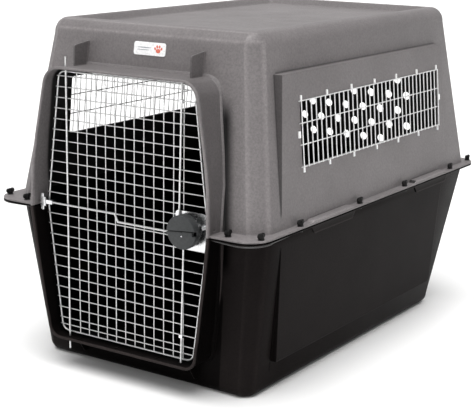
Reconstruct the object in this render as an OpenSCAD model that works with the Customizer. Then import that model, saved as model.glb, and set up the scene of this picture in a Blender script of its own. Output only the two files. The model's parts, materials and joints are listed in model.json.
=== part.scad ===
// Giant hard-shell pet transport carrier with a wire front door and a four-way rod latch.
// Frame: origin at the centre of the footprint on the floor, +Z up, the door faces -Y.

/* [Overall size] */
// Height over the roof rim
carrier_h = 889; // [860:1:900]
// Width over the flanges
carrier_w = 813; // [800:1:830]
// Front edge of the flange, measured from the centre
flange_front = 615; // [610:1:618]
// Rear edge of the flange, measured from the centre
flange_rear = 622; // [615:1:630]
// Height of the joint between the two shells
parting_z = 424; // [420:1:428]
// Wall thickness of both shells
wall = 4.5; // [4.5:0.5:5]

/* [Shell taper] */
// Half width of the body at the joint
body_hx = 385; // [380:1:386]
// Half width of the body at the roof
roof_hx = 322; // [315:1:326]
// Half width of the body at the floor
floor_hx = 331; // [325:1:338]
// Radius of the upright body corners
corner_r = 45; // [38:1:50]
// Radius round the roof edge
roof_r = 40; // [34:1:44]
// Radius round the floor edge
floor_r = 30; // [24:1:34]

/* [Door surround] */
// Thickness of the bead round the lip of the surround
bead_t = 7; // [6:0.5:8]
// Front face of the surround lip, measured from the centre
lip_front = 622; // [621:0.5:623]
// Half width of the doorway at the joint
doorway_hx = 268; // [266:1:270]
// Top of the doorway
doorway_top = 776; // [775:1:778]
// Bottom of the doorway
doorway_bottom = 87; // [85:1:88]

/* [Side vents] */
// Length of each side window
vent_l = 757; // [740:1:770]
// Height of each side window
vent_h = 156; // [150:1:160]
// Number of upright wires between the two end wires of each grille
vent_uprights = 32; // [28:1:34]
// Diameter of the grille wires
vent_wire_d = 3; // [2.5:0.1:3.4]

/* [Rear vents] */
// Diameter of the round vent holes
rear_hole_d = 25; // [20:1:28]
// Number of rows of round vent holes
rear_rows = 6; // [3:1:6]

/* [Door] */
// Half width of the door frame at the joint
door_hx = 248; // [246:1:250]
// Half width of the door frame at its top and bottom
door_end_hx = 206; // [204:1:210]
// Diameter of the door frame wire
frame_wire_d = 4.5; // [4.2:0.1:5]
// Diameter of the grid wires
grid_wire_d = 2.8; // [2.6:0.1:3.2]
// Diameter of the hinge rod and the sliding rods
rod_d = 5; // [4.6:0.1:5.4]

/* [Latch] */
// Diameter of the latch knob
knob_d = 83; // [76:1:86]
// Reach of the cam that drives the four sliding rods
crank_arm = 24; // [20:1:25]

/* [Fasteners] */
// Diameter of the flange bolts
bolt_d = 6; // [5:0.1:6.2]

/* [Hidden] */
$fn = 48;
hull_fn = 24;
fit = 0.05;
eps = 0.5;

// Body walls, front and rear, at the joint, the roof and the floor
joint_front = -561;
joint_rear = 596;
roof_front = -495;
roof_rear = 541;
floor_front = -520;
floor_rear = 497;

// Roof tray
tray_depth = 18;
tray_margin = 34;
tray_draft = 14;

// Flange and its fasteners
flange_t = 5;
flange_corner_r = 60;
side_bolt_x = 396;
side_bolt_y = [-407, -110, 147, 443];
corner_bolts = [[312, -592], [390, -572], [384, 594], [130, 609]];
bolt_spots = concat([for (s = [-1, 1], y = side_bolt_y) [s * side_bolt_x, y]],
    [for (s = [-1, 1], c = corner_bolts) [s * c[0], c[1]]]);
washer_t = 1.6;
nut_h = 8;
bolt_head_h = 4;
grip_spans = [[-372, -150], [188, 404]];

// Proud side panels: start and end along the body, and their slope away from the upright
panel_front = -471;
panel_lean = 5.7;
upper_panel_rear = 438;
lower_panel_rear = 424;
panel_slope = 0.085;
panel_start = 36;
upper_panel_top = 790;
lower_panel_bottom = 84;
upper_panel_foot = parting_z + panel_start;
lower_panel_head = parting_z - panel_start;

// Side window, in the plane of the panel
vent_y = 17;
vent_z = 642;
vent_tilt = atan(panel_slope);
hook_count = 7;

// Surround of the doorway
bead_depth = 10;
collar_h = 7;
lip_lean = 2.2;
surround_top = doorway_top + wall;
surround_bottom = doorway_bottom - wall;
surround_root = -470;
hinge_x = -177.5;

// Door planes, from the front backwards
cross_y = -584;
upright_y = cross_y + grid_wire_d;
frame_y = cross_y + grid_wire_d / 2 + frame_wire_d / 2;
hinge_y = cross_y - grid_wire_d / 2 - rod_d / 2;
rod_y = -590.5;
left_rod_y = -594;
door_top = 769;
door_bottom = 97;
frame_corner_r = 22;
grid_pitch = 29.6;
grid_count = 12;
cross_pitch = 27.2;
cross_first = 132;
cross_count = 24;
foot_cross_z = 114;

// Latch
knob_x = 197;
knob_z = 426;
knob_front = -622;
knob_back = -599.5;
plate_front = -587;
plate_t = 1.6;
plate_x = [158, 246];
plate_z = [378, 470];
spindle_r = 6;
spindle_fit = 0.02;
latch_rod_x = 177.5;
side_tip_x = 252;
left_rod_z = [434, 415];
right_rod_z = 437;
guide_heights = [for (j = [1, 22]) cross_first + j * cross_pitch];
upper_rod_foot = [171, 444];
lower_rod_head = [184.5, 398];

// ---------- helpers ----------

// Half width of the outer body wall at a height
function body_x(z) = z > parting_z
    ? body_hx - (body_hx - roof_hx) * (z - parting_z) / (carrier_h - roof_r - parting_z)
    : floor_hx + (body_hx - floor_hx) * (z - floor_r) / (parting_z - floor_r);
// Outer face of the proud panel at a height
function panel_x(z) = z > parting_z
    ? body_x(upper_panel_foot) - panel_slope * (z - upper_panel_foot)
    : body_x(lower_panel_head) - panel_slope * (lower_panel_head - z);
// Half width of the door frame at a height
function door_x(z) = z > parting_z
    ? door_hx - (door_hx - door_end_hx) * (z - parting_z) / (door_top - parting_z)
    : door_hx - (door_hx - door_end_hx) * (parting_z - z) / (parting_z - door_bottom);
// Centre line of the upright sliding rods at a height
function upright_rod_x(z) = z > knob_z
    ? upper_rod_foot[0] + (latch_rod_x - upper_rod_foot[0]) * (z - upper_rod_foot[1])
        / (doorway_top - 4 - upper_rod_foot[1])
    : lower_rod_head[0] + (latch_rod_x - lower_rod_head[0]) * (lower_rod_head[1] - z)
        / (lower_rod_head[1] - doorway_bottom - 4);
// Points of an arc in the XZ plane
function arc(x, z, r, a0, a1, n = 6) =
    [for (i = [0:n]) [x + r * cos(a0 + (a1 - a0) * i / n), z + r * sin(a0 + (a1 - a0) * i / n)]];
// Right half of an outline, bottom to top, mirrored to a closed polygon
function mirrored(half) =
    concat(half, [for (i = [len(half) - 1:-1:0]) [-half[i][0], half[i][1]]]);

// Outline of the doorway, larger by grow
function doorway_outline(grow = 0) = mirrored(concat(
    arc(196, doorway_bottom + 30, 30 + grow, -90, -6),
    [[228 + grow, 135], [234.5 + grow, 165], [245.5 + grow, 243], [256.5 + grow, 317]],
    [[doorway_hx + grow, parting_z - 10], [doorway_hx + grow, parting_z + 10]],
    [[264 + grow, 537], [253.5 + grow, 610], [240.5 + grow, 682]],
    arc(187, doorway_top - 44, 44 + grow, 5, 90)));

// Rectangle with round corners
module round_rect(w, h, r) {
    square([w - 2 * r, h], center = true);
    square([w, h - 2 * r], center = true);
    for (sx = [-1, 1], sy = [-1, 1])
        translate([sx * (w / 2 - r), sy * (h / 2 - r)])
            circle(r = r);
}
// Extrude an XZ outline from y0 back to y1
module extrude_y(y0, y1) {
    translate([0, y1, 0])
        rotate([90, 0, 0])
            linear_extrude(height = y1 - y0)
                children();
}
// A straight wire between two points
module wire(a, b, d) {
    v = b - a;
    l = norm(v);
    translate(a)
        rotate([0, acos(v[2] / l), atan2(v[1], v[0])])
            cylinder(d = d, h = l);
}
// A bent wire through a list of points, with a slightly larger ball at each bend
module bent_wire(points, d) {
    for (i = [0:len(points) - 2])
        wire(points[i], points[i + 1], d);
    for (i = [1:len(points) - 2])
        translate(points[i])
            sphere(d = d + 0.3);
}

// ---------- shells ----------

// Closed upper body, smaller by inset
module upper_body(inset) {
    top_z = carrier_h - roof_r;
    hull() {
        for (sx = [-1, 1], y = [joint_front + corner_r, joint_rear - corner_r])
            translate([sx * (body_hx - corner_r), y, parting_z - abs(inset)])
                cylinder(r = corner_r - inset, h = 1, $fn = hull_fn);
        for (sx = [-1, 1], y = [roof_front + roof_r, roof_rear - roof_r])
            translate([sx * (roof_hx - roof_r), y, top_z])
                sphere(r = roof_r - inset, $fn = hull_fn);
    }
}
// Closed lower body, smaller by inset
module lower_body(inset) {
    hull() {
        for (sx = [-1, 1], y = [joint_front + corner_r, joint_rear - corner_r])
            translate([sx * (body_hx - corner_r), y, parting_z - 1 + abs(inset)])
                cylinder(r = corner_r - inset, h = 1, $fn = hull_fn);
        for (sx = [-1, 1], y = [floor_front + floor_r, floor_rear - floor_r])
            translate([sx * (floor_hx - floor_r), y, floor_r])
                sphere(r = floor_r - inset, $fn = hull_fn);
    }
}
// Tapered block of the roof tray, larger by grow
module tray_block(grow) {
    r = 28;
    floor_z = carrier_h - tray_depth - grow;
    hull()
        for (k = [0, 1], sx = [-1, 1], y = [roof_front, roof_rear]) {
            m = tray_margin + (1 - k) * tray_draft + r - grow;
            translate([sx * (roof_hx - m), y + sign(-y) * m, k == 0 ? floor_z : carrier_h])
                cylinder(r = r, h = 1, $fn = hull_fn);
        }
}
// Slab that starts at y at the joint and leans back with its distance from the joint
module lean_slab(y, lean, depth) {
    translate([0, y, parting_z])
        rotate([-lean, 0, 0])
            translate([-500, 0, -500])
                cube([1000, depth, 1000]);
}
// Wedge of a proud side panel between two heights, moved inwards by inset
module panel_wedge(z0, z1, inset) {
    rear = z0 > parting_z ? upper_panel_rear : lower_panel_rear;
    intersection() {
        for (sx = [-1, 1])
            extrude_y(panel_front - 10, rear - inset)
                polygon([[sx * (body_x(z0) - 3 * wall), z0 + inset], [sx * (panel_x(z0) - inset), z0 + inset],
                    [sx * (panel_x(z1) - inset), z1 - inset], [sx * (body_x(z1) - 3 * wall), z1 - inset]]);
        lean_slab(panel_front + inset, z0 > parting_z ? panel_lean : -panel_lean, 1200);
    }
}
// Surround of the doorway: a wall that stands out from the front, with a bead along its lip
module surround(lean) {
    intersection() {
        extrude_y(-lip_front - 5, -lip_front + 40)
            polygon(doorway_outline(bead_t));
        lean_slab(-lip_front, lean, bead_depth);
    }
    intersection() {
        extrude_y(-lip_front - 5, surround_root)
            polygon(doorway_outline(wall));
        lean_slab(-lip_front + eps, lean, 400);
    }
}
// Collar round the root of the surround, inside the given body
module collar() {
    intersection() {
        extrude_y(-lip_front + 2 * bead_depth, surround_root)
            polygon(doorway_outline(bead_t + 3));
        children();
    }
}
// Holes in the surround for the side rods
module side_rod_holes() {
    for (p = [[-1, left_rod_y, left_rod_z[0]], [1, rod_y, right_rod_z]])
        translate([p[0] * (doorway_hx + 3) - 8, p[1], p[2]])
            rotate([0, 90, 0])
                cylinder(r = rod_d / 2 + 0.5, h = 16);
}
// Doorway cut
module doorway_cut() {
    extrude_y(-lip_front - 10, surround_root + 1)
        polygon(doorway_outline());
}
// Flange plate from one height to another
module flange_plate(z0, z1) {
    translate([0, (flange_rear - flange_front) / 2, z0])
        linear_extrude(height = z1 - z0)
            round_rect(carrier_w, flange_front + flange_rear, flange_corner_r);
}
// Everything above or below the joint
module half_space(upper) {
    translate([-500, -700, upper ? parting_z : parting_z - 600])
        cube([1000, 1400, 600]);
}
// Holes for the flange bolts
module bolt_holes() {
    for (p = bolt_spots)
        translate([p[0], p[1], parting_z - 20])
            cylinder(d = bolt_d + 0.6, h = 40);
}
// Vertical hole for the hinge rod or a latch rod
module rod_hole(x, y, z, r) {
    translate([x, y, z])
        cylinder(r = r, h = 30);
}
// Place children in the plane of the side window, x outwards from the panel face
module at_vent(side) {
    mirror([side < 0 ? 1 : 0, 0, 0])
        translate([panel_x(vent_z), vent_y, vent_z])
            rotate([0, -vent_tilt, 0])
                children();
}
module vent_window(side) {
    at_vent(side)
        translate([-25, 0, 0])
            rotate([90, 0, 90])
                linear_extrude(height = 50)
                    round_rect(vent_l, vent_h, 12);
}
// Staggered rows of round vents in the rear wall
module rear_vents() {
    pitch = 61;
    for (row = [0:rear_rows - 1]) {
        count = row % 2 == 0 ? 6 : 7;
        for (i = [0:count - 1])
            translate([(i - (count - 1) / 2) * pitch, roof_rear - 20, 465 + row * 48])
                rotate([-90, 0, 0])
                    cylinder(d = rear_hole_d, h = 100, $fn = 30);
    }
}
// Fin behind a rod end, standing on the top of the surround
module ledge_fin(x) {
    translate([x - 2, 0, 0])
        rotate([90, 0, 90])
            linear_extrude(height = 4)
                polygon([[-556, surround_top - 2], [-500, surround_top - 2], [-500, 840], [-556, 830]]);
}

// Fin below the sill, mirrored from the one on the top of the surround
module sill_fin(x) {
    translate([x - 2, 0, 0])
        rotate([90, 0, 90])
            linear_extrude(height = 4)
                polygon([[-530, 30], [-512, 30], [-512, surround_bottom + 2], [-556, surround_bottom + 2]]);
}

module top_shell() {
    color("#807c7c")
        difference() {
            union() {
                upper_body(0);
                flange_plate(parting_z, parting_z + flange_t);
                panel_wedge(upper_panel_foot, upper_panel_top, 0);
                surround(lip_lean);
                collar()
                    upper_body(-collar_h);
                for (s = [-1, 1])
                    ledge_fin(s * -hinge_x);
                for (span = grip_spans, s = [-1, 1])
                    translate([s * (carrier_w / 2 - 4) - 4, span[0], parting_z])
                        cube([8, span[1] - span[0], flange_t + 5]);
            }
            difference() {
                union() {
                    upper_body(wall);
                    panel_wedge(upper_panel_foot, upper_panel_top, wall);
                }
                tray_block(wall);
            }
            tray_block(0);
            doorway_cut();
            half_space(false);
            vent_window(1);
            vent_window(-1);
            rear_vents();
            bolt_holes();
            side_rod_holes();
            rod_hole(hinge_x, hinge_y, surround_top - 15, rod_d / 2 + fit);
            rod_hole(latch_rod_x, rod_y, surround_top - 15, rod_d / 2 + 0.5);
        }
}

module bottom_shell() {
    color("#2d2a28")
        difference() {
            union() {
                lower_body(0);
                flange_plate(parting_z - flange_t, parting_z);
                panel_wedge(lower_panel_bottom, lower_panel_head, 0);
                surround(-lip_lean);
                collar()
                    lower_body(-collar_h);
                for (s = [-1, 1])
                    sill_fin(s * -hinge_x);
                for (span = grip_spans, s = [-1, 1])
                    translate([s * (carrier_w / 2 - 2) - 2, span[0], parting_z - 22])
                        cube([4, span[1] - span[0], 22]);
            }
            union() {
                lower_body(wall);
                panel_wedge(lower_panel_bottom, lower_panel_head, wall);
            }
            doorway_cut();
            half_space(true);
            bolt_holes();
            rod_hole(hinge_x, hinge_y, surround_bottom - 10, rod_d / 2 + fit);
            rod_hole(latch_rod_x, rod_y, surround_bottom - 10, rod_d / 2 + 0.5);
        }
}

// ---------- side vents ----------

module vent_grille(side) {
    pitch = vent_l / (vent_uprights + 1);
    r = vent_wire_d / 2;
    color("silver")
        at_vent(side) {
            for (i = [0:vent_uprights + 1])
                translate([3 * r, -vent_l / 2 + i * pitch, -vent_h / 2 - 3])
                    cylinder(r = r, h = vent_h + 6);
            for (z = [-vent_h / 2 - 1.5, -vent_h / 6, vent_h / 6, vent_h / 2 + 1.5])
                translate([r, -vent_l / 2 - 6, z])
                    rotate([-90, 0, 0])
                        cylinder(r = r, h = vent_l + 12);
        }
}
// Small tabs that hold the edge wires of a grille down on the panel
module vent_clips(side) {
    step = (vent_l - 8) / (hook_count - 1);
    w = vent_wire_d + 0.4;
    color("silver")
        at_vent(side) {
            for (i = [0:hook_count - 1], s = [-1, 1])
                translate([0, (i - (hook_count - 1) / 2) * step - 2.5, s * (vent_h / 2 + 7.5 + w / 2) - 6])
                    cube([w, 5, 12]);
            for (s = [-1, 1])
                translate([0, s * (vent_l / 2 + 6 + 4.2) - 4, -8])
                    cube([w, 8, 16]);
        }
}
module vent_grille_right() { vent_grille(1); }
module vent_grille_left() { vent_grille(-1); }
module vent_clips_right() { vent_clips(1); }
module vent_clips_left() { vent_clips(-1); }

// ---------- flange fasteners ----------

module flange_bolts() {
    below = parting_z - flange_t;
    color("#505050")
        for (p = bolt_spots)
            translate([p[0], p[1], below]) {
                translate([0, 0, -bolt_head_h])
                    cylinder(d = bolt_d * 1.8, h = bolt_head_h);
                cylinder(d = bolt_d, h = 2 * flange_t + washer_t + nut_h + 2);
            }
}
module flange_washers() {
    color("silver")
        for (p = bolt_spots)
            translate([p[0], p[1], parting_z + flange_t])
                difference() {
                    cylinder(d = bolt_d * 2.6, h = washer_t);
                    translate([0, 0, -1])
                        cylinder(d = bolt_d + 0.4, h = washer_t + 2);
                }
}
module wing_nut() {
    difference() {
        union() {
            cylinder(d = 13, h = nut_h);
            for (s = [-1, 1])
                rotate([90, 0, 90])
                    translate([0, 0, -2])
                        linear_extrude(height = 4)
                            polygon([[s * 4, 1], [s * 9, 4], [s * 13, 13], [s * 9, 15], [s * 4, 8]]);
        }
        translate([0, 0, -1])
            cylinder(d = bolt_d + 0.2, h = nut_h + 10);
    }
}
module wing_nuts() {
    color("#1c1c1c")
        for (p = bolt_spots)
            translate([p[0], p[1], parting_z + flange_t + washer_t])
                wing_nut();
}

// Blank plate above the doorway
module label_plate() {
    lean = atan((roof_front - joint_front) / (carrier_h - roof_r - parting_z));
    z0 = 816;
    y0 = joint_front + (roof_front - joint_front) * (z0 - parting_z) / (carrier_h - roof_r - parting_z);
    color("white")
        translate([0, y0 - 0.6, z0])
            rotate([90 - lean, 0, 0])
                linear_extrude(height = 1.2)
                    translate([14, 16])
                        round_rect(96, 32, 6);
}

// ---------- door ----------

module door_frame() {
    bend = frame_corner_r * 0.6;
    right = [[door_end_hx - bend, door_bottom], [door_end_hx + 1, door_bottom + bend], [door_hx, parting_z],
        [door_end_hx + 1, door_top - bend], [door_end_hx - bend, door_top]];
    outline = mirrored(right);
    color("silver") {
        bent_wire([for (p = concat(outline, [outline[0]])) [p[0], frame_y, p[1]]], frame_wire_d);
        translate([outline[0][0], frame_y, outline[0][1]])
            sphere(d = frame_wire_d + 0.3);
    }
}
module door_vertical_wires() {
    gap = frame_wire_d / 2;
    color("silver")
        for (i = [1:grid_count]) {
            x = hinge_x + i * grid_pitch;
            spans = i == grid_count ? [[door_bottom + gap, plate_z[0] - 2], [plate_z[1] + 2, door_top - gap]]
                : [[door_bottom + gap, door_top - gap]];
            for (s = spans)
                translate([x, upright_y, s[0]])
                    cylinder(d = grid_wire_d, h = s[1] - s[0]);
        }
}
module door_cross_wires() {
    heights = concat([foot_cross_z], [for (j = [0:cross_count - 1]) cross_first + j * cross_pitch]);
    color("silver")
        for (z = heights) {
            behind_plate = z > plate_z[0] && z < plate_z[1];
            reach = door_x(z) + frame_wire_d / 2;
            right_end = behind_plate ? plate_x[0] + 8 : reach;
            translate([-reach, cross_y, z])
                rotate([0, 90, 0])
                    cylinder(d = grid_wire_d, h = reach + right_end);
        }
}
module hinge_rod() {
    color("silver")
        translate([hinge_x, hinge_y, surround_bottom - 29])
            cylinder(d = rod_d, h = surround_top + 26 - surround_bottom + 29);
}

// ---------- latch ----------

module latch_backplate() {
    w = plate_x[1] - plate_x[0];
    h = plate_z[1] - plate_z[0];
    color("silver")
        difference() {
            extrude_y(plate_front, plate_front + plate_t)
                translate([plate_x[0] + w / 2, plate_z[0] + h / 2])
                    round_rect(w, h, 8);
            translate([knob_x, plate_front - 1, knob_z])
                rotate([-90, 0, 0])
                    cylinder(r = spindle_r + fit, h = plate_t + 2);
        }
}
// Saddle with a bore along Z for a sliding rod at depth y, standing on a surface at depth back
module rod_saddle(y, back, l) {
    difference() {
        translate([-5, y - 4.4, -l / 2])
            cube([10, back - y + 4.4, l]);
        translate([0, y, -l])
            cylinder(d = rod_d + 0.7, h = 2 * l);
    }
}
module rod_guides() {
    wire_face = cross_y - grid_wire_d / 2;
    color("gainsboro") {
        for (z = guide_heights)
            translate([upright_rod_x(z), 0, z])
                rod_saddle(rod_y, wire_face, 8);
        translate([-232, 0, left_rod_z[0]])
            rotate([0, 90, 0])
                rod_saddle(left_rod_y, wire_face, 20);
        translate([236, 0, right_rod_z])
            rotate([0, 90, 0])
                rod_saddle(rod_y, plate_front, 8);
    }
}
module latch_knob() {
    r = knob_d / 2;
    color("#55585a")
        difference() {
            translate([knob_x, knob_back, knob_z])
                rotate([90, 0, 0])
                    union() {
                        cylinder(r = r, h = knob_back - knob_front - 7);
                        intersection() {
                            cylinder(r = r - 1.5, h = knob_back - knob_front);
                            translate([-r, 4, 0])
                                cube([2 * r, r, knob_back - knob_front]);
                        }
                    }
            translate([knob_x, knob_back + 1, knob_z])
                rotate([90, 0, 0])
                    cylinder(r = r - 4, h = 11);
            translate([knob_x + r - 12, knob_front - 1, knob_z - 8])
                cube([20, 14, 11]);
            translate([knob_x, knob_front - 1, knob_z])
                rotate([-90, 0, 0])
                    cylinder(r = spindle_r + spindle_fit, h = 40);
        }
}
module latch_cam() {
    color("#9a9a98")
        translate([knob_x, knob_back + 5, knob_z])
            rotate([90, 0, 0])
                difference() {
                    cylinder(r = crank_arm + 8, h = 3);
                    translate([0, 0, -1])
                        cylinder(r = spindle_r + spindle_fit, h = 5);
                }
}
module latch_spindle() {
    color("silver")
        translate([knob_x, plate_front + plate_t + 4, knob_z])
            rotate([90, 0, 0])
                cylinder(r = spindle_r, h = plate_front + plate_t + 4 - knob_front - 8);
}
module spindle_washer() {
    color("silver")
        translate([knob_x, plate_front + plate_t + 2, knob_z])
            rotate([90, 0, 0])
                difference() {
                    cylinder(r = spindle_r + 5, h = 1.6);
                    translate([0, 0, -1])
                        cylinder(r = spindle_r + spindle_fit, h = 4);
                }
}
module spindle_screw() {
    color("silver")
        translate([knob_x, plate_front + plate_t + 4, knob_z])
            rotate([-90, 0, 0])
                difference() {
                    cylinder(r = spindle_r - 1, h = 3);
                    translate([-4, -0.6, 1.8])
                        cube([8, 1.2, 2]);
                }
}
// Upright sliding rods, which lean a little towards the cam
module upper_latch_rod() {
    color("silver")
        wire([upper_rod_foot[0], rod_y, upper_rod_foot[1]], [latch_rod_x, rod_y, doorway_top - 4], rod_d);
}
module lower_latch_rod() {
    color("silver")
        wire([latch_rod_x, rod_y, doorway_bottom + 4], [lower_rod_head[0], rod_y, lower_rod_head[1]], rod_d);
}
module left_latch_rod() {
    color("silver")
        bent_wire([[-side_tip_x, left_rod_y, left_rod_z[0]], [-22, left_rod_y, left_rod_z[0]],
            [-12, left_rod_y, left_rod_z[1]], [knob_x - crank_arm - 12, left_rod_y, left_rod_z[1]]], rod_d);
}
module right_latch_rod() {
    color("silver")
        wire([knob_x + 14, rod_y, right_rod_z], [side_tip_x, rod_y, right_rod_z], rod_d);
}

bottom_shell();
top_shell();
vent_grille_right();
vent_grille_left();
vent_clips_right();
vent_clips_left();
flange_bolts();
flange_washers();
wing_nuts();
label_plate();
door_frame();
door_vertical_wires();
door_cross_wires();
hinge_rod();
latch_backplate();
rod_guides();
latch_knob();
latch_cam();
latch_spindle();
spindle_washer();
spindle_screw();
upper_latch_rod();
lower_latch_rod();
left_latch_rod();
right_latch_rod();
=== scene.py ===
"""Looks of the giant two-shell pet carrier: photo view, soft studio light, moulded plastic and zinc wire."""

import json
import math

import bpy
import numpy as np
from mathutils import Matrix, Vector


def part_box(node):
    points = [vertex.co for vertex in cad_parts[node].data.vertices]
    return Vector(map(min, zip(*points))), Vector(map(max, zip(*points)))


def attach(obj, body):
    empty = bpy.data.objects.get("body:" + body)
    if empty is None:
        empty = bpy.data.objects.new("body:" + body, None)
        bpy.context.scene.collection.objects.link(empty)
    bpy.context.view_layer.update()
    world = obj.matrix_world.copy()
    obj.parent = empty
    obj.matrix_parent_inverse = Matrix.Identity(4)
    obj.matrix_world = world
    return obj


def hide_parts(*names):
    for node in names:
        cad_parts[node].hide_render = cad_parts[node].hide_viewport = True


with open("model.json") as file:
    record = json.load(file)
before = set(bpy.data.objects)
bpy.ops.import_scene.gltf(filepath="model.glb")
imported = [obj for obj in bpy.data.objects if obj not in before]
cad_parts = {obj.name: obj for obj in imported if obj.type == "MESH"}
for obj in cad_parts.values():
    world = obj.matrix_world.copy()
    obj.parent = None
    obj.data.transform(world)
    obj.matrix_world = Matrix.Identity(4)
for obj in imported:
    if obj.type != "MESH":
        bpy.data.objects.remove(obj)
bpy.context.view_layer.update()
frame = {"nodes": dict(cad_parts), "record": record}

MM = 0.001

# ---------------------------------------------------------------- shape of the shells, in mm, as in the CAD
PARTING = 424.0
WALL = 4.5
BODY_HX, ROOF_HX, FLOOR_HX = 385.0, 322.0, 331.0
JOINT_Y, ROOF_Y, FLOOR_Y = (-561.0, 596.0), (-495.0, 541.0), (-520.0, 497.0)
TOP, ROOF_R, FLOOR_R, CORNER_R = 889.0, 40.0, 30.0, 45.0
PANEL_FRONT, UPPER_PANEL_REAR, LOWER_PANEL_REAR = -471.0, 438.0, 424.0
PANEL_LEAN, PANEL_SLOPE, PANEL_START = 0.0998, 0.085, 36.0
UPPER_PANEL_TOP, LOWER_PANEL_BOTTOM = 790.0, 84.0
VENT_Y, VENT_Z, VENT_L, VENT_H = 17.0, 642.0, 757.0, 156.0
LIP_FRONT, LIP_SLOPE, SURROUND_ROOT = -622.0, 0.0384, -470.0
DOORWAY_SIDE = (
    (228, 135), (234.5, 165), (245.5, 243), (256.5, 317), (268, 414),
    (268, 434), (264, 537), (253.5, 610), (240.5, 682),
)
FLANGE_HX, FLANGE_Y, FLANGE_R, FLANGE_T = 406.5, (-615.0, 622.0), 60.0, 5.0
CORNER_STEPS, CORNER_FLAT = 12, 0.45


def body_x(z):
    if z > PARTING:
        return BODY_HX - (BODY_HX - ROOF_HX) * (z - PARTING) / (TOP - ROOF_R - PARTING)
    return FLOOR_HX + (BODY_HX - FLOOR_HX) * (z - FLOOR_R) / (PARTING - FLOOR_R)


def panel_x(z):
    if z > PARTING:
        foot = PARTING + PANEL_START
        return body_x(foot) - PANEL_SLOPE * (z - foot)
    head = PARTING - PANEL_START
    return body_x(head) - PANEL_SLOPE * (head - z)


# ---------------------------------------------------------------- mesh helpers
def make(name, verts, faces, smooth=True, scale=MM):
    mesh = bpy.data.meshes.new(name)
    mesh.from_pydata([tuple(float(c) * scale for c in v) for v in verts], [], [tuple(f) for f in faces])
    mesh.validate()
    mesh.update()
    obj = bpy.data.objects.new(name, mesh)
    bpy.context.scene.collection.objects.link(obj)
    for p in mesh.polygons:
        p.use_smooth = smooth
    return obj


def loft(name, rings, smooth=True):
    """Closed solid through rings of equal length, capped with one face at each end."""
    n = len(rings[0])
    verts = [p for ring in rings for p in ring]
    faces = []
    for k in range(len(rings) - 1):
        for i in range(n):
            j = (i + 1) % n
            faces.append((k * n + i, k * n + j, (k + 1) * n + j, (k + 1) * n + i))
    faces.append(tuple(range(n - 1, -1, -1)))
    faces.append(tuple((len(rings) - 1) * n + i for i in range(n)))
    obj = make(name, verts, faces, smooth)
    fix_normals(obj)
    return obj


def fix_normals(obj):
    import bmesh

    bm = bmesh.new()
    bm.from_mesh(obj.data)
    bmesh.ops.recalc_face_normals(bm, faces=bm.faces)
    bm.to_mesh(obj.data)
    bm.free()


def prism(name, outline, lo, hi, axis, smooth=False):
    """Closed solid from an outline in the plane square to the axis: (x, z), (y, z) or (x, y) pairs."""
    place = {
        "y": lambda a, b, c: (a, c, b),
        "x": lambda a, b, c: (c, a, b),
        "z": lambda a, b, c: (a, b, c),
    }[axis]
    return loft(name, [[place(a, b, c) for a, b in outline] for c in (lo, hi)], smooth)


def box(name, lo, hi):
    return prism(name, [(lo[0], lo[1]), (hi[0], lo[1]), (hi[0], hi[1]), (lo[0], hi[1])], lo[2], hi[2], "z")


def cut(target, tool, operation="DIFFERENCE"):
    """Boolean with a tool that is used up."""
    mod = target.modifiers.new("b", "BOOLEAN")
    mod.operation = operation
    mod.solver = "MANIFOLD"
    mod.object = tool
    depsgraph = bpy.context.evaluated_depsgraph_get()
    mesh = bpy.data.meshes.new_from_object(target.evaluated_get(depsgraph))
    target.modifiers.clear()
    target.data = mesh
    bpy.data.objects.remove(tool)


def shade(obj, degrees=32):
    for p in obj.data.polygons:
        p.use_smooth = True
    obj.data.set_sharp_from_angle(angle=math.radians(degrees))


def merge(name, parts):
    """One mesh object out of several that don't need to be cut together."""
    verts, faces, smooth = [], [], []
    for o in parts:
        base = len(verts)
        verts += [o.matrix_world @ v.co for v in o.data.vertices]
        faces += [tuple(base + i for i in p.vertices) for p in o.data.polygons]
        smooth += [p.use_smooth for p in o.data.polygons]
        bpy.data.objects.remove(o)
    obj = make(name, verts, faces, True, 1.0)
    for p, s in zip(obj.data.polygons, smooth):
        p.use_smooth = s
    return obj


def tube(name, points, r, n=12, closed=False):
    """Round wire through points in mm."""
    pts = [Vector(p) for p in points]
    m = len(pts)
    rings = []
    side = None
    for k, p in enumerate(pts):
        if closed:
            d = (pts[(k + 1) % m] - pts[k - 1]).normalized()
        else:
            d = (pts[min(k + 1, m - 1)] - pts[max(k - 1, 0)]).normalized()
        if side is None:
            side = d.orthogonal().normalized()
        side = (side - d * side.dot(d)).normalized()
        up = d.cross(side)
        rings.append(
            [p + (side * math.cos(2 * math.pi * i / n) + up * math.sin(2 * math.pi * i / n)) * r for i in range(n)]
        )
    if not closed:
        return loft(name, rings)
    verts = [p for ring in rings for p in ring]
    faces = []
    for k in range(m):
        for i in range(n):
            j, l = (i + 1) % n, (k + 1) % m
            faces.append((k * n + i, k * n + j, l * n + j, l * n + i))
    obj = make(name, verts, faces)
    fix_normals(obj)
    return obj


def rect_ring(hx, y0, y1, r, z, seg=8, flat=0.0):
    """Ring of a rectangle with round corners, at one height; flat turns the corners towards a chamfer."""
    r = max(r, 0.5)
    out = []
    for cx, cy, a0 in ((hx - r, y1 - r, 0), (-hx + r, y1 - r, 90), (-hx + r, y0 + r, 180), (hx - r, y0 + r, 270)):
        for i in range(seg + 1):
            t = i / seg
            a, b = math.radians(a0 + 90 * t), math.radians(a0)
            x = (1 - flat) * math.cos(a) + flat * ((1 - t) * math.cos(b) - t * math.sin(b))
            y = (1 - flat) * math.sin(a) + flat * ((1 - t) * math.sin(b) + t * math.cos(b))
            out.append((cx + r * x, cy + r * y, z))
    return out


def arc2(cx, cz, r, a0, a1, n=8):
    angles = [math.radians(a0 + (a1 - a0) * i / n) for i in range(n + 1)]
    return [(cx + r * math.cos(a), cz + r * math.sin(a)) for a in angles]


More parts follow.
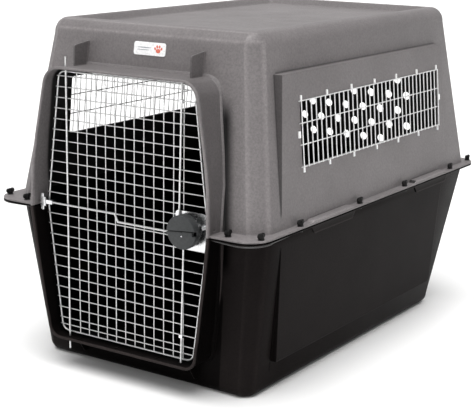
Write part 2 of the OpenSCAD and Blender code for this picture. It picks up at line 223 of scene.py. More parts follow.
def circle(cx, cz, r, n):
    return arc2(cx, cz, r, 0, 360, n)[:-1]


def mirrored(half):
    return half + [(-x, z) for x, z in reversed(half)]


def doorway_outline(grow=0.0):
    half = arc2(196, 117, 30 + grow, -90, -6)
    half += [(x + grow, z) for x, z in DOORWAY_SIDE]
    half += arc2(187, 732, 44 + grow, 5, 90)
    return mirrored(half)


def lean(y, z, slope):
    """Depth that falls back with the distance from the joint."""
    return y + slope * abs(z - PARTING)


def in_y(outline, y, slope=0.0):
    return [(x, lean(y, z, slope), z) for x, z in outline]


# ---------------------------------------------------------------- shell bodies
def upper_rings(inset, top):
    rings = []
    for t in np.linspace(0, 1, 9):
        z = PARTING + (TOP - ROOF_R - PARTING) * t
        if inset and t == 0:
            z -= 6
        rings.append(
            rect_ring(
                body_x(max(z, PARTING + 0.001)) - inset,
                JOINT_Y[0] + (ROOF_Y[0] - JOINT_Y[0]) * t + inset,
                JOINT_Y[1] + (ROOF_Y[1] - JOINT_Y[1]) * t - inset,
                CORNER_R + (ROOF_R - CORNER_R) * t - inset * 0.5,
                z,
                CORNER_STEPS,
                CORNER_FLAT,
            )
        )
    r = ROOF_R - inset
    for a in np.linspace(0, 90, 11)[1:]:
        k = r * (1 - math.cos(math.radians(a)))
        z = TOP - ROOF_R + (top - TOP + ROOF_R) * math.sin(math.radians(a))
        y0, y1 = ROOF_Y[0] + inset + k, ROOF_Y[1] - inset - k
        corner = max(ROOF_R - inset * 0.5 - k, 8)
        rings.append(rect_ring(ROOF_HX - inset - k, y0, y1, corner, z, CORNER_STEPS, CORNER_FLAT))
    return rings


def lower_rings(inset):
    rings = []
    r = FLOOR_R - inset
    for a in np.linspace(90, 0, 10):
        k = r * (1 - math.cos(math.radians(a)))
        z = FLOOR_R - r * math.sin(math.radians(a))
        y0, y1 = FLOOR_Y[0] + inset + k, FLOOR_Y[1] - inset - k
        corner = max(FLOOR_R + 6 - inset * 0.5 - k, 8)
        rings.append(rect_ring(FLOOR_HX - inset - k, y0, y1, corner, z, CORNER_STEPS, CORNER_FLAT))
    for t in np.linspace(0, 1, 9)[1:]:
        z = FLOOR_R + (PARTING - FLOOR_R) * t
        rings.append(
            rect_ring(
                FLOOR_HX + (BODY_HX - FLOOR_HX) * t - inset,
                FLOOR_Y[0] + (JOINT_Y[0] - FLOOR_Y[0]) * t + inset,
                FLOOR_Y[1] + (JOINT_Y[1] - FLOOR_Y[1]) * t - inset,
                FLOOR_R + 6 + (CORNER_R - FLOOR_R - 6) * t - inset * 0.5,
                z + (6 if inset and t == 1 else 0),
                CORNER_STEPS,
                CORNER_FLAT,
            )
        )
    return rings


def panel(side, z0, z1, inset, name):
    """Proud side panel with a rounded far upper corner."""
    x_out = lambda z: side * (panel_x(z) - inset)
    x_in = lambda z: side * (body_x(z) - 12)
    upper = z0 > PARTING
    y0, y1 = PANEL_FRONT + inset, (UPPER_PANEL_REAR if upper else LOWER_PANEL_REAR) - inset
    lo, hi = z0 + inset, z1 - inset
    r = 12.0
    far = hi if upper else lo
    sign = 1 if upper else -1
    base = lo if upper else hi
    loop = [(y0, base), (y1, base)]
    for a in np.radians(np.linspace(0, 90, 6)):
        loop.append((y1 - r + r * math.cos(a), far - sign * r + sign * r * math.sin(a)))
    loop.append((y0, far))
    rings = [[(f(z), lean(y, z, PANEL_LEAN) if y == y0 else y, z) for y, z in loop] for f in (x_in, x_out)]
    return loft(name, rings, False)


def doorway_loft(name, profile):
    """Solid along the doorway from (depth, growth) pairs; its front part leans back like the lip."""
    return loft(name, [in_y(doorway_outline(g), y, LIP_SLOPE if y < -500 else 0.0) for y, g in profile], True)


def surround(name):
    """Solid block of the door surround: a wall standing out from the front with a round bead along its lip."""
    profile = (
        (SURROUND_ROOT, WALL), (-606, WALL), (-609, 6.2), (-611.5, 7.0),
        (-618.5, 7.0), (-620.8, 6.1), (-621.7, 4.6), (LIP_FRONT, 3.5),
    )
    return doorway_loft(name, profile)


def collar(body_rings, name):
    """Step round the root of the surround that follows the slope of the front wall."""
    out = None
    for grow, off in ((10.0, 3.5), (9.0, 5.8), (7.4, 7.0)):
        layer = prism("c", doorway_outline(grow), -600, SURROUND_ROOT, "y")
        cut(layer, loft("b", body_rings(-off), True), "INTERSECT")
        if out is None:
            out = layer
            out.name = name
        else:
            cut(out, layer, "UNION")
    return out


def lip_cutter(name):
    """Doorway cut with a softened front edge."""
    profile = (
        (SURROUND_ROOT + 1, 0), (LIP_FRONT + 4, 0), (LIP_FRONT + 1.8, 0.6),
        (LIP_FRONT + 0.6, 1.7), (LIP_FRONT, 3.0), (LIP_FRONT - 12, 3.1),
    )
    return doorway_loft(name, profile)


def rod_passages(name):
    """Holes in the jamb for the hinge rod and the four latch rods."""
    parts = []
    for x, y, r in ((-177.5, -587.9, 2.9), (177.5, -590.5, 3.4)):
        for z0, z1 in ((60, 95), (765, 802)):
            parts.append(prism("hole", [(x + a, y + b) for a, b in circle(0, 0, r, 16)], z0, z1, "z"))
    for x, y, z in ((-271, -594, 434), (271, -590.5, 437)):
        parts.append(prism("hole", [(y + a, z + b) for a, b in circle(0, 0, 3.4, 16)], x - 9, x + 9, "x"))
    return merge(name, parts)


def half_space(name, upper):
    low = PARTING if upper else PARTING - 620
    return box(name, (-520, -720, low), (520, 720, low + 620))


def flange(name, z0, z1):
    """Plate round the body with softened edges."""
    rings = []
    for z, k in ((z0, 1.5), (z0 + 0.5, 0.5), (z0 + 1.6, 0.0), (z1 - 1.6, 0.0), (z1 - 0.5, 0.5), (z1, 1.5)):
        rings.append(rect_ring(FLANGE_HX - k, FLANGE_Y[0] + k, FLANGE_Y[1] - k, FLANGE_R - k, z, 10))
    return loft(name, rings, True)


def vent_cutter(side, name):
    """Side window with round corners, square to the panel."""
    tilt = math.atan(PANEL_SLOPE)
    r = 8.0
    hy, hz = VENT_L / 2 - r, VENT_H / 2 - r
    loop = []
    for cy, cz, a0 in ((hy, hz, 0), (-hy, hz, 90), (-hy, -hz, 180), (hy, -hz, 270)):
        loop += arc2(cy, cz, r, a0, a0 + 90, 5)
    rings = []
    for lx in (-40, 25):
        ring = []
        for ly, lz in loop:
            x = panel_x(VENT_Z) + lx * math.cos(tilt) - lz * math.sin(tilt)
            z = VENT_Z + lz * math.cos(tilt) + lx * math.sin(tilt)
            ring.append((side * x, VENT_Y + ly, z))
        rings.append(ring)
    return loft(name, rings, False)


def rear_holes(name):
    parts = []
    for row in range(6):
        count = 6 if row % 2 == 0 else 7
        for i in range(count):
            cx, cz = (i - (count - 1) / 2) * 61.0, 465 + row * 48.0
            parts.append(prism("hole", circle(cx, cz, 12.5, 24), 500, 640, "y"))
    return merge(name, parts)


def fin(x, points):
    r = [(x - 2.4, y, z) for y, z in points]
    return loft("fin", [r, [(x + 2.4, y, z) for _, y, z in r]], False)


def grip(side, y0, y1, upper):
    """Raised rib of the hand grip on the flange, with sloped ends, or the lip that hangs below it."""
    x0, x1 = (386.0, 406.0) if upper else (401.5, 406.0)
    z0, z1 = (PARTING + 1, PARTING + 11) if upper else (PARTING - 2, PARTING - 22)
    slope = 16.0
    rings = []
    for x, dz in ((x0, 0.0), (x1 - 3, 0.0), (x1, -2.5 if upper else 0.0)):
        outline = ((y0, z0), (y0 + slope, z1 + dz), (y1 - slope, z1 + dz), (y1, z0))
        rings.append([(side * x, y, z) for y, z in outline])
    return loft("grip", rings, False)


GRIPS = ((-372, -150), (188, 404))
FIN_X = 177.5
TRAY_RINGS = (
    (66, TOP - 18), (62, TOP - 17), (59, TOP - 14), (50, TOP - 3.2),
    (46.5, TOP - 0.8), (42, TOP + 0.3), (38, TOP + 4),
)


def build_top():
    obj = loft("top_shell_look", upper_rings(0, TOP), True)
    for s in (1, -1):
        cut(obj, panel(s, PARTING + PANEL_START, UPPER_PANEL_TOP, 0, "p"), "UNION")
    cut(obj, surround("s"), "UNION")
    cut(obj, collar(lambda k: upper_rings(k, TOP - k), "c"), "UNION")
    cut(obj, flange("f", PARTING, PARTING + FLANGE_T), "UNION")
    for s in (1, -1):
        cut(obj, fin(s * FIN_X, [(-556, 779), (-500, 779), (-500, 839), (-553, 832), (-556, 829)]), "UNION")
        for y0, y1 in GRIPS:
            cut(obj, grip(s, y0, y1, True), "UNION")
    tray = []
    for k, z in TRAY_RINGS:
        tray.append(rect_ring(ROOF_HX - k, ROOF_Y[0] + k, ROOF_Y[1] - k, max(66 - k, 6) * 0.5 + 10, z))
    cut(obj, loft("t", tray, True))
    inner = loft("i", upper_rings(WALL, TOP - 24), True)
    for s in (1, -1):
        cut(inner, panel(s, PARTING + PANEL_START, UPPER_PANEL_TOP, WALL, "p"), "UNION")
    cut(obj, inner)
    cut(obj, lip_cutter("d"))
    cut(obj, half_space("h", False))
    cut(obj, rod_passages("rp"))
    for s in (1, -1):
        cut(obj, vent_cutter(s, "v"))
    cut(obj, rear_holes("r"))
    shade(obj)
    return obj


def build_bottom():
    obj = loft("bottom_shell_look", lower_rings(0), True)
    for s in (1, -1):
        cut(obj, panel(s, LOWER_PANEL_BOTTOM, PARTING - PANEL_START, 0, "p"), "UNION")
    cut(obj, surround("s"), "UNION")
    cut(obj, collar(lower_rings, "c"), "UNION")
    cut(obj, flange("f", PARTING - FLANGE_T, PARTING), "UNION")
    for s in (1, -1):
        cut(obj, fin(s * FIN_X, [(-532, 30), (-512, 30), (-512, 83), (-556, 83), (-556, 66)]), "UNION")
        for y0, y1 in GRIPS:
            cut(obj, grip(s, y0, y1, False), "UNION")
    inner = loft("i", lower_rings(WALL), True)
    for s in (1, -1):
        cut(inner, panel(s, LOWER_PANEL_BOTTOM, PARTING - PANEL_START, WALL, "p"), "UNION")
    cut(obj, inner)
    cut(obj, lip_cutter("d"))
    cut(obj, half_space("h", True))
    cut(obj, rod_passages("rp"))
    for x in (-140, -20, 105):
        cut(obj, box("r", (x - 1.6, -600, 84), (x + 1.6, -556, 88)), "UNION")
    shade(obj)
    return obj


top = build_top()
bottom = build_bottom()
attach(top, "carrier")
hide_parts("top_shell")
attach(bottom, "carrier")
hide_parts("bottom_shell")


# ---------------------------------------------------------------- rolled edge at the lower flange's front corners
def corner_edge(side):
    """Rolled bead that hangs from the lower flange round a front corner, open to the flange by a thin gap."""
    bend_x, bend_y = FLANGE_HX - FLANGE_R, FLANGE_Y[0] + FLANGE_R
    path = []
    for t in np.linspace(0, 1, 40):
        if t < 0.4:
            x, y, back = 279 + (bend_x - 279) * t / 0.4, FLANGE_Y[0], 2.4
        elif t < 0.8:
            a = math.radians(-90 + 90 * (t - 0.4) / 0.4)
            x, y, back = bend_x + FLANGE_R * math.cos(a), bend_y + FLANGE_R * math.sin(a), 1.4
        else:
            x, y, back = FLANGE_HX, bend_y + 150 * (t - 0.8) / 0.2, 0
        drop = (5.0 if side > 0 else 1.6) * math.sin(math.pi * min(1.0, t / 0.92)) ** 0.8
        path.append((side * (x - 2.4 if t > 0.8 else x), y + back, PARTING - 3.2 - drop))
    return tube("corner_edge", path, 2.0, 12)


corner_edges = []
for side, name in ((1, "corner_edge_right"), (-1, "corner_edge_left")):
    edge_piece = corner_edge(side)
    edge_piece.name = name
    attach(edge_piece, "carrier")
    corner_edges.append(edge_piece)


# ---------------------------------------------------------------- door frame with round corners
def rounded_loop(points, r, n=6):
    """Closed polygon with its corners rounded."""
    out = []
    m = len(points)
    for k in range(m):
        p, a, b = np.array(points[k], float), np.array(points[k - 1], float), np.array(points[(k + 1) % m], float)
        da, db = a - p, b - p
        la, lb = np.linalg.norm(da), np.linalg.norm(db)
        half = math.acos(max(-1, min(1, float(da @ db) / la / lb))) / 2
        t = min(r / math.tan(half), 0.45 * la, 0.45 * lb)
        p0, p1 = p + da / la * t, p + db / lb * t
        for i in range(n + 1):
            s = i / n
            out.append(tuple((1 - s) ** 2 * p0 + 2 * s * (1 - s) * p + s * s * p1))
    return out


FRAME_Y = -580.35
corner_points = [(206, 97), (248, 424), (206, 769), (-206, 769), (-248, 424), (-206, 97)]
loop = rounded_loop(corner_points, 24)
door_loop = tube("door_frame_look", [(x, FRAME_Y, z) for x, z in loop], 2.25, 14, True)
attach(door_loop, "door")
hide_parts("door_frame")


# ---------------------------------------------------------------- latch knob
KNOB_X, KNOB_Z, KNOB_R = 197.0, 426.0, 41.5


def disc(name, profile, n=72):
    """Turned solid about the knob's axis from (y, radius) pairs."""
    rings = []
    for y, r in profile:
        rings.append([(r * math.cos(2 * math.pi * i / n), y, r * math.sin(2 * math.pi * i / n)) for i in range(n)])
    return loft(name, rings)


def build_knob():
    """Drum with a raised upper half, a groove under it, a notch at the right and a lug at the left."""
    drum = ((-599.5, 0.5), (-600, 0.0), (-616.5, 0.0), (-617.8, 0.5), (-618.4, 1.8))
    raised = ((-605, 0.6), (-620, 0.6), (-621.4, 1.2), (-621.9, 2.6))
    base = disc("knob_look", [(y, KNOB_R - k) for y, k in drum])
    half = disc("h", [(y, KNOB_R - k) for y, k in raised])
    cut(half, box("b", (-60, -640, -60), (60, -580, 4.5)))
    cut(base, half, "UNION")
    cut(base, box("b", (-60, -640, 1.6), (60, -614, 4.4)))
    cut(base, box("b", (KNOB_R - 11, -640, -9), (KNOB_R + 6, -609, 1.7)))
    cut(base, box("b", (-KNOB_R - 3.5, -618.2, -7), (-KNOB_R + 4, -607, 0)), "UNION")
    for k in range(40):
        a = math.radians(9 * k + 4.5)
        x, z = (KNOB_R + 0.7) * math.cos(a), (KNOB_R + 0.7) * math.sin(a)
        cut(base, prism("g", circle(x, z, 1.2, 8), -614, -598, "y"))
    cut(base, disc("c", [(-610, KNOB_R - 4), (-590, KNOB_R - 4)]))
    cut(base, disc("c", [(-640, 1.6), (-590, 1.6)], 12))
    turn = Matrix.Translation((KNOB_X * MM, 0, KNOB_Z * MM)) @ Matrix.Rotation(math.radians(-5.5), 4, "Y")
    base.data.transform(turn)
    shade(base)
    return base, turn


knob, knob_turn = build_knob()
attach(knob, "knob")
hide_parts("latch_knob")
knob_screw = disc("knob_screw", [(-613, 1.9), (-619.0, 1.9), (-619.4, 1.1)], 20)
knob_screw.data.transform(knob_turn @ Matrix.Translation((0, 0, -9 * MM)))
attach(knob_screw, "knob")


# ---------------------------------------------------------------- wing nuts with a round hub and rounded wings
BOLTS = [(s * 396, y) for s in (-1, 1) for y in (-407, -110, 147, 443)]
BOLTS += [(s * x, y) for s in (-1, 1) for x, y in ((312, -592), (390, -572), (384, 594), (130, 609))]


def wing_nut(x, y):
    base = PARTING + 6.8
    rings = []
    for z, r in ((0, 6.6), (1.2, 7.0), (6, 6.2), (11, 5.0), (13, 4.0), (13.6, 2.6)):
        rings.append([(a, b, base + z) for a, b in circle(x, y, r, 20)])
    hub = loft("nut", rings)
    for s in (-1, 1):
        oval = circle(s * 7.6, base + 8.2, 5.8, 20)
        wing = [[(x + k, y + u, v) for u, v in oval] for k in (-2.2, 2.2)]
        cut(hub, loft("wing", wing, False), "UNION")
    shade(hub)
    return hub


nuts = merge("wing_nuts_look", [wing_nut(x, y) for x, y in BOLTS])
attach(nuts, "carrier")
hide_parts("wing_nuts")

# ---------------------------------------------------------------- bent clip that guides the end of the long rod
clip = box("rod_clip", (-260, -599, 423), (-243, -597.6, 446))
cut(clip, box("c", (-257, -600.4, 446), (-247, -597.6, 455)), "UNION")
cut(clip, box("c", (-257, -600.4, 414), (-247, -597.6, 423)), "UNION")
for leg_z in (423.0, 443.5):
    cut(clip, box("c", (-256, -598, leg_z), (-244.5, -581, leg_z + 2.5)), "UNION")
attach(clip, "door")


# ---------------------------------------------------------------- label: a plain plate with a paw print
LEAN = math.atan(66 / 425)
low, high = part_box("label_plate")
label_mid = (Vector(low) + Vector(high)) / 2
out_dir, up_dir = Vector((0, -math.cos(LEAN), math.sin(LEAN))), Vector((0, math.sin(LEAN), math.cos(LEAN)))


def on_label(name, shapes):
    """Thin flat shapes on the plate, each (centre u, centre v, half width, half height, turn)."""
    parts = []
    for u, v, a, b, turn in shapes:
        ring = []
        for i in range(28):
            t = 2 * math.pi * i / 28
            x, y = a * math.cos(t), b * math.sin(t)
            c, s = math.cos(turn), math.sin(turn)
            ring.append((u + x * c - y * s, v + x * s + y * c))
        rings = []
        for lift in (0.2, 0.9):
            rings.append([label_mid / MM + Vector((p, 0, 0)) + up_dir * q + out_dir * lift for p, q in ring])
        parts.append(loft("s", rings, False))
    return merge(name, parts)


PAW = (
    (26, -3.6, 7.0, 5.2, 0),
    (16.5, 1.6, 2.6, 3.7, 0.5),
    (22.2, 6.4, 2.7, 4.0, 0.15),
    (29.6, 6.4, 2.7, 4.0, -0.15),
    (35.4, 1.6, 2.6, 3.7, -0.5),
)
paw = on_label("label_paw", PAW)
stripes = on_label("label_stripes", [(-16, 2.6, 22, 1.1, 0), (-19, -3.2, 19, 0.8, 0)])
for piece in (paw, stripes):
    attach(piece, "carrier")


# ---------------------------------------------------------------- materials
def nodes_of(name):
    mat = bpy.data.materials.new(name)
    mat.use_nodes = True
    tree = mat.node_tree
    bsdf = tree.nodes["Principled BSDF"]
    return mat, tree, bsdf


def noise(tree, scale, detail=3.0, roughness=0.5):
    coord = tree.nodes.new("ShaderNodeTexCoord")
    tex = tree.nodes.new("ShaderNodeTexNoise")
    tex.inputs["Scale"].default_value = scale
    tex.inputs["Detail"].default_value = detail
    tex.inputs["Roughness"].default_value = roughness
    tree.links.new(coord.outputs["Object"], tex.inputs["Vector"])
    return tex.outputs["Fac"]


def ramp(tree, fac, lo, hi, a=0.35, b=0.65):
    node = tree.nodes.new("ShaderNodeValToRGB")
    node.color_ramp.elements[0].position = a
    node.color_ramp.elements[1].position = b
    node.color_ramp.elements[0].color = (*lo, 1)
    node.color_ramp.elements[1].color = (*hi, 1)
    tree.links.new(fac, node.inputs["Fac"])
    return node.outputs["Color"]


JOINT_Z, FRONT_SLOPE = PARTING * MM, 0.155


def spread_range(tree, value, a, b, lo, hi):
    node = tree.nodes.new("ShaderNodeMapRange")
    node.interpolation_type = "SMOOTHSTEP"
    tree.links.new(value, node.inputs["Value"])
    for key, v in zip(("From Min", "From Max", "To Min", "To Max"), (a, b, lo, hi)):
        node.inputs[key].default_value = v
    return node.outputs["Result"]


def spread(tree, fac, lo, hi):
    node = tree.nodes.new("ShaderNodeMapRange")
    node.inputs["To Min"].default_value = lo
    node.inputs["To Max"].default_value = hi
    tree.links.new(fac, node.inputs["Value"])
    return node.outputs["Result"]


def plastic(name, lo, hi, rough, grain=900.0, bump=0.25, edge=0.0, specular=0.5, shell=None):
    """Moulded plastic: fine leather grain, slight tone drift, uneven gloss, and soft edges."""
    mat, tree, bsdf = nodes_of(name)
    drift = ramp(tree, noise(tree, 5.0, 4.0), lo, hi)
    fine = ramp(tree, noise(tree, 190.0, 3.0, 0.6), (0.87, 0.87, 0.87), (1.11, 1.11, 1.11))
    mix = tree.nodes.new("ShaderNodeMixRGB")
    mix.blend_type = "MULTIPLY"
    mix.inputs["Fac"].default_value = 1.0
    tree.links.new(drift, mix.inputs["Color1"])
    tree.links.new(fine, mix.inputs["Color2"])
    colour = mix.outputs["Color"]
    # shells get the painted shade and painted highlights of inner_tone
    if shell is not None:
        colour = inner_tone(tree, colour, **shell)
    tree.links.new(colour, bsdf.inputs["Base Color"])
    tree.links.new(spread(tree, noise(tree, 14.0, 5.0), rough[0], rough[1]), bsdf.inputs["Roughness"])
    bsdf.inputs["Specular IOR Level"].default_value = specular
    b = tree.nodes.new("ShaderNodeBump")
    b.inputs["Strength"].default_value = bump
    b.inputs["Distance"].default_value = 0.0006
    tree.links.new(noise(tree, grain, 2.0, 0.6), b.inputs["Height"])
    if edge:
        bevel = tree.nodes.new("ShaderNodeBevel")
        bevel.samples = 6
        bevel.inputs["Radius"].default_value = edge
        tree.links.new(bevel.outputs["Normal"], b.inputs["Normal"])
    tree.links.new(b.outputs["Normal"], bsdf.inputs["Normal"])
    return mat


class Field:
    """A shader value with arithmetic, so that each mask reads as a formula."""

    def __init__(self, tree, socket):
        self.tree = tree
        self.socket = socket

    def node(self, operation, other=None):
        out = self.tree.nodes.new("ShaderNodeMath")
        out.operation = operation
        self.tree.links.new(self.socket, out.inputs[0])
        if isinstance(other, Field):
            self.tree.links.new(other.socket, out.inputs[1])
        elif other is not None:
            out.inputs[1].default_value = other
        return Field(self.tree, out.outputs[0])

    def __add__(self, other):
        return self.node("ADD", other)

    def __sub__(self, other):
        return self.node("SUBTRACT", other)

    def __mul__(self, other):
        return self.node("MULTIPLY", other)

    def __gt__(self, other):
        return self.node("GREATER_THAN", other)

    def __lt__(self, other):
        return self.node("LESS_THAN", other)

    def __abs__(self):
        return self.node("ABSOLUTE")

    def most(self, other):
        return self.node("MAXIMUM", other)

    def soft(self, a, b):
        """0 at a, 1 at b, smooth between."""
        ends = (0.0, 1.0) if a < b else (1.0, 0.0)
        return Field(self.tree, spread_range(self.tree, self.socket, min(a, b), max(a, b), *ends))

    def hump(self, centre, width):
        """1 at the centre, falling to 0 one width away on either side."""
        return abs(self - centre).soft(width, 0.0)


def xyz(tree, socket):
    split = tree.nodes.new("ShaderNodeSeparateXYZ")
    tree.links.new(socket, split.inputs["Vector"])
    return [Field(tree, split.outputs[k]) for k in "XYZ"]


def inner_tone(tree, colour, inside, bead, line, root, face):
    """Painted shade and highlights on the shells: faces inside the carrier are painted near black as shade; painted
    shade darkens the side of the surround, the channel between it and the corner, the panel step, the flange gap and
    the line over the side panel; painted highlights lighten the lip, the front corners, the brow, the flange's lower
    lines and the collar's edge; faces that look up are painted lighter as light from above, and the grips' outer
    faces are painted lighter.
    """
    geo = tree.nodes.new("ShaderNodeNewGeometry")
    coord = tree.nodes.new("ShaderNodeTexCoord")
    x, y, z = xyz(tree, coord.outputs["Object"])
    nx, ny, nz = xyz(tree, geo.outputs["Normal"])
    across, height = abs(x), abs(z - JOINT_Z)

    # faces that look towards the middle of the carrier, behind the front wall and in the jamb, are painted near black
    # as shade of the closed interior
    off = tree.nodes.new("ShaderNodeVectorMath")
    off.operation = "SUBTRACT"
    off.inputs[1].default_value = (0.0, 0.0, 0.42)
    dot = tree.nodes.new("ShaderNodeVectorMath")
    dot.operation = "DOT_PRODUCT"
    tree.links.new(coord.outputs["Object"], off.inputs[0])
    tree.links.new(off.outputs["Vector"], dot.inputs[0])
    tree.links.new(geo.outputs["True Normal"], dot.inputs[1])
    inward = Field(tree, dot.outputs["Value"]) < -0.04
    wall_y = height * FRONT_SLOPE - 0.561
    behind = (y > wall_y + 0.002) * (z < 0.862)
    recess = (y + height * 0.07).soft(-0.562, -0.552) * (height < 0.353)
    behind = behind.most(recess)

    # painted shade on the side of the surround, and in the channel between it and the corner
    depth = y - wall_y
    beside = across + height * 0.108
    strip = y.soft(-0.612, -0.610) * depth.soft(-0.0075, -0.009) * beside.soft(0.288, 0.284)
    channel = beside.soft(0.312, 0.281) * depth.soft(0.006, 0.004) * depth.soft(-0.006, -0.0035)
    channel = channel * height.soft(0.33, 0.26)

    # painted shade in the step at the front of the side panel, in the gap between the flanges and in the line over
    # the panel
    edge = y - height * PANEL_LEAN
    gutter = edge.soft(-0.479, -0.475) * edge.soft(-0.469, -0.4715) * height.soft(0.030, 0.045)
    gutter = gutter * (height < 0.366) * (across > 0.3)
    gap = z.soft(0.4206, 0.4214) * z.soft(0.4250, 0.4242)
    ledge = z.hump(0.7925, 0.0035) * (across > 0.3) * (abs(y) < 0.43)
    shaded = strip * (1 - face) + channel * 0.96 + gutter * 0.6 + gap * 0.85 + ledge * 0.45

    # painted highlights on the upright front corners and on the brow, broken up by noise, and painted light from
    # above on what faces up
    edge_highlight = (abs(nx).hump(0.34, 0.2) + abs(nx).hump(0.885, 0.1)) * (across > 0.275)
    brow_highlight = (nz.hump(0.42, 0.14) + nz.hump(0.92, 0.055)) * (z > 0.83)
    edge_highlight = edge_highlight.most(brow_highlight) * ny.soft(-0.15, -0.3)
    edge_highlight = edge_highlight * Field(tree, spread(tree, noise(tree, 130.0, 4.0, 0.65), -0.3, 2.2))
    top_light = nz.soft(0.8, 0.97)

    # painted highlights on the lip of the surround, the flange's lower lines and the collar's corner; the grips'
    # outer faces are painted lighter
    rim = (y - height * LIP_SLOPE).soft(-0.6155, -0.6195)
    flange_line_highlight = (z.hump(0.4035, 0.0028) + z.hump(0.4192, 0.0012)) * (across > 0.399)
    bent = (height - 0.107).most(0.0) * 0.04
    step = (beside + bent).hump(0.2785, 0.0034) * depth.soft(0.002, -0.001) * depth.soft(-0.0095, -0.0085)
    step = step * height.soft(0.33, 0.30)
    grips = z.soft(0.4288, 0.4300) * z.soft(0.4350, 0.4340) * (across > 0.402)

    # bright sums the painted highlights and the painted light from above; shaded sums the painted shade
    bright = rim * bead + edge_highlight * 0.3 + top_light * 0.14 + flange_line_highlight * line + step * root + grips * 0.3
    keep = bright - shaded + 1.0
    tone = tree.nodes.new("ShaderNodeVectorMath")
    tone.operation = "SCALE"
    tree.links.new(colour, tone.inputs[0])
    tree.links.new(keep.socket, tone.inputs["Scale"])
    # painted shade: inward faces behind the front wall take the near-black inside colour
    mix = tree.nodes.new("ShaderNodeMixRGB")
    tree.links.new((inward * behind).socket, mix.inputs["Fac"])
    tree.links.new(tone.outputs["Vector"], mix.inputs["Color1"])
    mix.inputs["Color2"].default_value = (*inside, 1)
    return mix.outputs["Color"]


def metal(name, lo, hi, rough, stretch=(1, 1, 1), bump=0.1, metallic=1.0):
    """Zinc plate: spangle, faint drawing lines, uneven gloss."""
    mat, tree, bsdf = nodes_of(name)
    bsdf.inputs["Metallic"].default_value = metallic
    coord = tree.nodes.new("ShaderNodeTexCoord")
    mapping = tree.nodes.new("ShaderNodeMapping")
    mapping.inputs["Scale"].default_value = stretch
    tex = tree.nodes.new("ShaderNodeTexNoise")
    tex.inputs["Scale"].default_value = 320.0
    tex.inputs["Detail"].default_value = 3.0
    tree.links.new(coord.outputs["Object"], mapping.inputs["Vector"])
    tree.links.new(mapping.outputs["Vector"], tex.inputs["Vector"])
    tree.links.new(ramp(tree, tex.outputs["Fac"], lo, hi), bsdf.inputs["Base Color"])
    tree.links.new(spread(tree, noise(tree, 60.0, 4.0), rough[0], rough[1]), bsdf.inputs["Roughness"])
    b = tree.nodes.new("ShaderNodeBump")
    b.inputs["Strength"].default_value = bump
    b.inputs["Distance"].default_value = 0.0003
    tree.links.new(tex.outputs["Fac"], b.inputs["Height"])
    tree.links.new(b.outputs["Normal"], bsdf.inputs["Normal"])
    return mat


shell_grain = {"grain": 450.0, "bump": 0.42, "edge": 0.004}
# the inside colour is painted shade of the interior; bead, line and root set painted highlights; face sets how much
# of the painted shade on the surround's side is left off
grey = plastic(
    "grey_plastic",
    (0.144, 0.1325, 0.1335),
    (0.167, 0.1545, 0.1555),
    (0.4, 0.54),
    specular=0.28,
    shell={"inside": (0.008, 0.0075, 0.0075), "bead": 0.22, "line": 0.0, "root": 0.25, "face": 0.74},
    **shell_grain,
)
# same painted shade and painted highlights for the dark lower shell, stronger on the bead, lines and root
dark = plastic(
    "dark_plastic",
    (0.0092, 0.0077, 0.0075),
    (0.0118, 0.0099, 0.0096),
    (0.28, 0.4),
    specular=0.014,
    shell={"inside": (0.002, 0.002, 0.002), "bead": 2.2, "line": 1.6, "root": 3.0, "face": 0.3},
    **shell_grain,
)
# the rolled edge is a lighter copy of the dark plastic: painted highlight on the bead
rolled = plastic("rolled_edge", (0.026, 0.0245, 0.0245), (0.038, 0.036, 0.036), (0.3, 0.42), edge=0.001, specular=0.5)
nut_black = plastic(
    "black_plastic", (0.0055, 0.0052, 0.0052), (0.009, 0.0086, 0.0086), (0.4, 0.55), grain=600.0, specular=0.15
)
knob_grey = plastic(
    "knob_plastic", (0.036, 0.038, 0.039), (0.048, 0.05, 0.051), (0.36, 0.48), bump=0.08, edge=0.0008, specular=0.2
)
zinc = metal("zinc_wire", (0.58, 0.58, 0.58), (0.76, 0.76, 0.76), (0.24, 0.42))
zinc_plate = metal("zinc_plate", (0.68, 0.69, 0.7), (0.88, 0.88, 0.89), (0.16, 0.34), stretch=(1, 1, 0.1))
zinc_dull = metal("zinc_dull", (0.72, 0.72, 0.72), (0.88, 0.88, 0.88), (0.3, 0.45), metallic=0.5)
# the clips are near white and barely metallic, lighter than the zinc wire: painted sheen so they read as bright stubs
zinc_clip = metal("zinc_clip", (0.9, 0.9, 0.9), (0.96, 0.96, 0.96), (0.3, 0.45), metallic=0.2)
black_steel = metal("black_steel", (0.03, 0.03, 0.03), (0.06, 0.06, 0.06), (0.3, 0.5))
paw_red = plastic("paw_red", (0.62, 0.12, 0.08), (0.7, 0.17, 0.11), (0.25, 0.35), grain=300.0, bump=0.05)
stripe_grey = plastic("stripe_grey", (0.2, 0.22, 0.25), (0.27, 0.29, 0.32), (0.25, 0.35), grain=300.0, bump=0.05)
white_film = plastic("label_film", (0.86, 0.86, 0.86), (0.9, 0.9, 0.9), (0.22, 0.34), grain=300.0, bump=0.05)

BY_SLOT = {
    "zinc_wire": zinc,
    "zinc_plate": zinc_plate,
    "black_plastic": nut_black,
    "black_steel": black_steel,
    "knob_plastic": knob_grey,
    "label": white_film,
    "grey_plastic": grey,
    "dark_plastic": dark,
}


def dress(obj, mat):
    obj.data.materials.clear()
    obj.data.materials.append(mat)
    for p in obj.data.polygons:
        p.material_index = 0


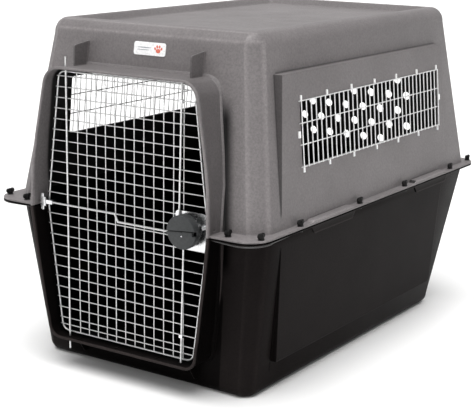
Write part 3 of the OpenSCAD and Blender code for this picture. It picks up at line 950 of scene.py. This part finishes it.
for row in frame["record"]["subparts"]:
    dress(frame["nodes"][row["node"]], BY_SLOT[row["material_slot"]])
dress(top, grey)
dress(bottom, dark)
for piece in corner_edges:
    dress(piece, rolled)
dress(door_loop, zinc)
dress(knob, knob_grey)
dress(knob_screw, zinc_plate)
dress(nuts, nut_black)
dress(frame["nodes"]["vent_grille_right"], zinc_dull)
dress(frame["nodes"]["vent_clips_right"], zinc_clip)
dress(frame["nodes"]["vent_clips_left"], zinc_clip)
dress(clip, zinc_plate)
dress(paw, paw_red)
dress(stripes, stripe_grey)

# ---------------------------------------------------------------- stage: pale floor, soft light
floor_mat, tree, bsdf = nodes_of("stage_floor")
floor_tone = ramp(tree, noise(tree, 2.0, 3.0), (0.9, 0.897, 0.893), (0.92, 0.918, 0.915))
tree.links.new(floor_tone, bsdf.inputs["Base Color"])
bsdf.inputs["Roughness"].default_value = 0.75
floor = make("floor", [(-30, -20, 0), (30, -20, 0), (30, 60, 0), (-30, 60, 0)], [(0, 1, 2, 3)], False, 1.0)
dress(floor, floor_mat)

world = bpy.data.worlds.new("studio")
bpy.context.scene.world = world
world.use_nodes = True
sky = world.node_tree
back = sky.nodes["Background"]
back.inputs["Color"].default_value = (1, 1, 1, 1)
direction = sky.nodes.new("ShaderNodeTexCoord")
axes = sky.nodes.new("ShaderNodeSeparateXYZ")
sky.links.new(direction.outputs["Generated"], axes.inputs["Vector"])
sky.links.new(spread_range(sky, axes.outputs["X"], 0.15, 0.9, 0.64, 0.26), back.inputs["Strength"])


def area(name, place, aim, size, power, colour=(1, 1, 1)):
    light = bpy.data.lights.new(name, "AREA")
    light.shape = "RECTANGLE"
    light.size, light.size_y = size
    light.energy = power
    light.color = colour
    obj = bpy.data.objects.new(name, light)
    obj.location = place
    obj.rotation_euler = (Vector(aim) - Vector(place)).to_track_quat("-Z", "Y").to_euler()
    bpy.context.scene.collection.objects.link(obj)
    return obj


area("side_strip", (2.2, -3.4, 1.5), (0.35, -0.5, 0.45), (0.35, 2.2), 14)
sun = bpy.data.lights.new("soft_key", "SUN")
sun.energy = 3.25
sun.angle = math.radians(50)
sun_obj = bpy.data.objects.new("soft_key", sun)
sun_obj.rotation_euler = Vector((-0.12, 0.26, -1)).to_track_quat("-Z", "Y").to_euler()
bpy.context.scene.collection.objects.link(sun_obj)

# ---------------------------------------------------------------- camera, fitted to the photo
FOCAL_PX, YAW, PITCH, ROLL = 1273.65, math.radians(33.556), math.radians(13.504), math.radians(0.835)
forward = Vector((-math.sin(YAW) * math.cos(PITCH), math.cos(YAW) * math.cos(PITCH), -math.sin(PITCH)))
right = forward.cross(Vector((0, 0, 1))).normalized()
up = right.cross(forward)
right, up = right * math.cos(ROLL) + up * math.sin(ROLL), up * math.cos(ROLL) - right * math.sin(ROLL)
cam_data = bpy.data.cameras.new("camera")
cam_data.sensor_width = 36.0
cam_data.lens = FOCAL_PX / 474 * 36.0
cam = bpy.data.objects.new("camera", cam_data)
cam.matrix_world = Matrix.Translation((1.9, -2.9505, 1.1825)) @ Matrix((right, up, -forward)).transposed().to_4x4()
bpy.context.scene.collection.objects.link(cam)
bpy.context.scene.camera = cam
bpy.context.scene.view_settings.view_transform = "Standard"
